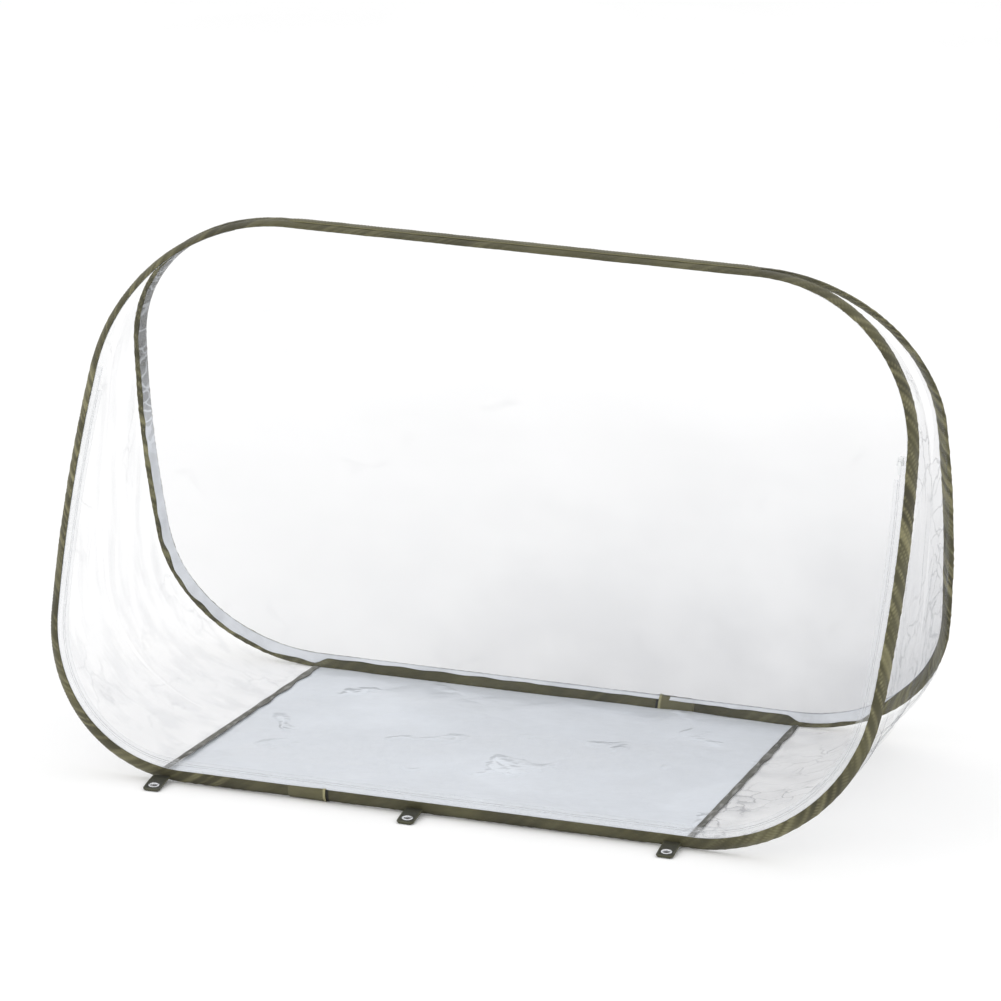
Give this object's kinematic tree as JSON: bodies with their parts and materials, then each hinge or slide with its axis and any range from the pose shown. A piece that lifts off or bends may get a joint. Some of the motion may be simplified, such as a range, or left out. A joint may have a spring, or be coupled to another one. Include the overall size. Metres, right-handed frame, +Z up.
{
  "type": "pop-up mini greenhouse",
  "caption": "Pop-up mini greenhouse: two olive spring hoops lean together over a clear film tent with floor, end walls, zipped door and ground tabs.",
  "frame": {"origin": "on the ground, under the middle of the ridge", "axes": "+Z up; -Y towards the front door; +X to the right seen from the front"},
  "size_m": [1, 0.6158, 0.6173],
  "materials": {
    "sleeve_fabric": "woven matte",
    "clear_film": "clear gloss",
    "floor_film": "clear gloss",
    "seam_tape": "woven matte",
    "tab_webbing": "woven matte",
    "eyelet_steel": "polished",
    "spring_steel": "satin",
    "zip_tape": "woven matte",
    "zip_plastic": "satin"
  },
  "bodies": {
    "base": {"floor_sheet": "floor_film", "left_floor_seam": "seam_tape", "right_floor_seam": "seam_tape", "left_end_film": "clear_film", "right_end_film": "clear_film"},
    "ridge": {"ridge_tape": "sleeve_fabric"},
    "front_frame": {"front_binding": "sleeve_fabric", "front_binding_lap": "sleeve_fabric", "front_hoop_wire": "spring_steel", "front_wire_crimp": "spring_steel", "front_film": "clear_film", "zip_frame_tape": "zip_tape"},
    "rear_frame": {"rear_binding": "sleeve_fabric", "rear_binding_lap": "sleeve_fabric", "rear_hoop_wire": "spring_steel", "rear_wire_crimp": "spring_steel", "rear_film": "clear_film"},
    "door": {"door_film": "clear_film", "zip_door_tape": "zip_tape"},
    "slider": {"zip_slider": "zip_plastic"},
    "pull": {"zip_pull": "zip_plastic"},
    "front_left_tab_body": {"front_left_tab": "tab_webbing", "front_left_eyelet": "eyelet_steel"},
    "front_centre_tab_body": {"front_centre_tab": "tab_webbing", "front_centre_eyelet": "eyelet_steel"},
    "front_right_tab_body": {"front_right_tab": "tab_webbing", "front_right_eyelet": "eyelet_steel"},
    "rear_left_tab_body": {"rear_left_tab": "tab_webbing", "rear_left_eyelet": "eyelet_steel"},
    "rear_centre_tab_body": {"rear_centre_tab": "tab_webbing", "rear_centre_eyelet": "eyelet_steel"},
    "rear_right_tab_body": {"rear_right_tab": "tab_webbing", "rear_right_eyelet": "eyelet_steel"}
  },
  "joints": [
    {"name": "ridge_lift", "type": "slide", "parent": "base", "child": "ridge", "axis": [0, 0, 1], "range_m": [0, 0.05163]},
    {"name": "front_fold", "type": "hinge", "parent": "ridge", "child": "front_frame", "pos_m": [0, 0, 0.61158], "axis": [-1, 0, 0], "range_deg": [-22.9, 0], "deforming": ["floor_sheet", "left_floor_seam", "right_floor_seam", "left_end_film", "right_end_film"]},
    {"name": "rear_fold", "type": "hinge", "parent": "ridge", "child": "rear_frame", "pos_m": [0, 0, 0.61158], "axis": [1, 0, 0], "range_deg": [-22.9, 0]},
    {"name": "door_lift", "type": "hinge", "parent": "front_frame", "child": "door", "pos_m": [0, -0.09856, 0.41163], "axis": [-1, 0, 0], "range_deg": [0, 115]},
    {"name": "zip_travel", "type": "hinge", "parent": "front_frame", "child": "slider", "pos_m": [-1.4955, -0.14292, 0.30661], "axis": [0, 0.9212, -0.3891], "range_deg": [0, 8.21]},
    {"name": "pull_swing", "type": "hinge", "parent": "slider", "child": "pull", "pos_m": [0.47558, -0.09342, 0.43226], "axis": [-0.9977, -0.0266, -0.0629], "range_deg": [0, 150]},
    {"name": "front_left_tab_fold", "type": "hinge", "parent": "front_frame", "child": "front_left_tab_body", "pos_m": [-0.327, -0.26818, 0.007], "axis": [-1, 0, 0], "range_deg": [-50, 60]},
    {"name": "front_centre_tab_fold", "type": "hinge", "parent": "front_frame", "child": "front_centre_tab_body", "pos_m": [-0.024, -0.26818, 0.007], "axis": [-1, 0, 0], "range_deg": [-50, 60]},
    {"name": "front_right_tab_fold", "type": "hinge", "parent": "front_frame", "child": "front_right_tab_body", "pos_m": [0.279, -0.26818, 0.007], "axis": [-1, 0, 0], "range_deg": [-50, 60]},
    {"name": "rear_left_tab_fold", "type": "hinge", "parent": "rear_frame", "child": "rear_left_tab_body", "pos_m": [-0.303, 0.26818, 0.007], "axis": [1, 0, 0], "range_deg": [-50, 60]},
    {"name": "rear_centre_tab_fold", "type": "hinge", "parent": "rear_frame", "child": "rear_centre_tab_body", "pos_m": [0, 0.26818, 0.007], "axis": [1, 0, 0], "range_deg": [-50, 60]},
    {"name": "rear_right_tab_fold", "type": "hinge", "parent": "rear_frame", "child": "rear_right_tab_body", "pos_m": [0.303, 0.26818, 0.007], "axis": [1, 0, 0], "range_deg": [-50, 60]}
  ],
  "couplings": [
    {"joint": "rear_fold", "follows": "front_fold", "ratio": 1},
    {"joint": "ridge_lift", "follows": "front_fold", "m_per_rad": -0.12916}
  ]
}
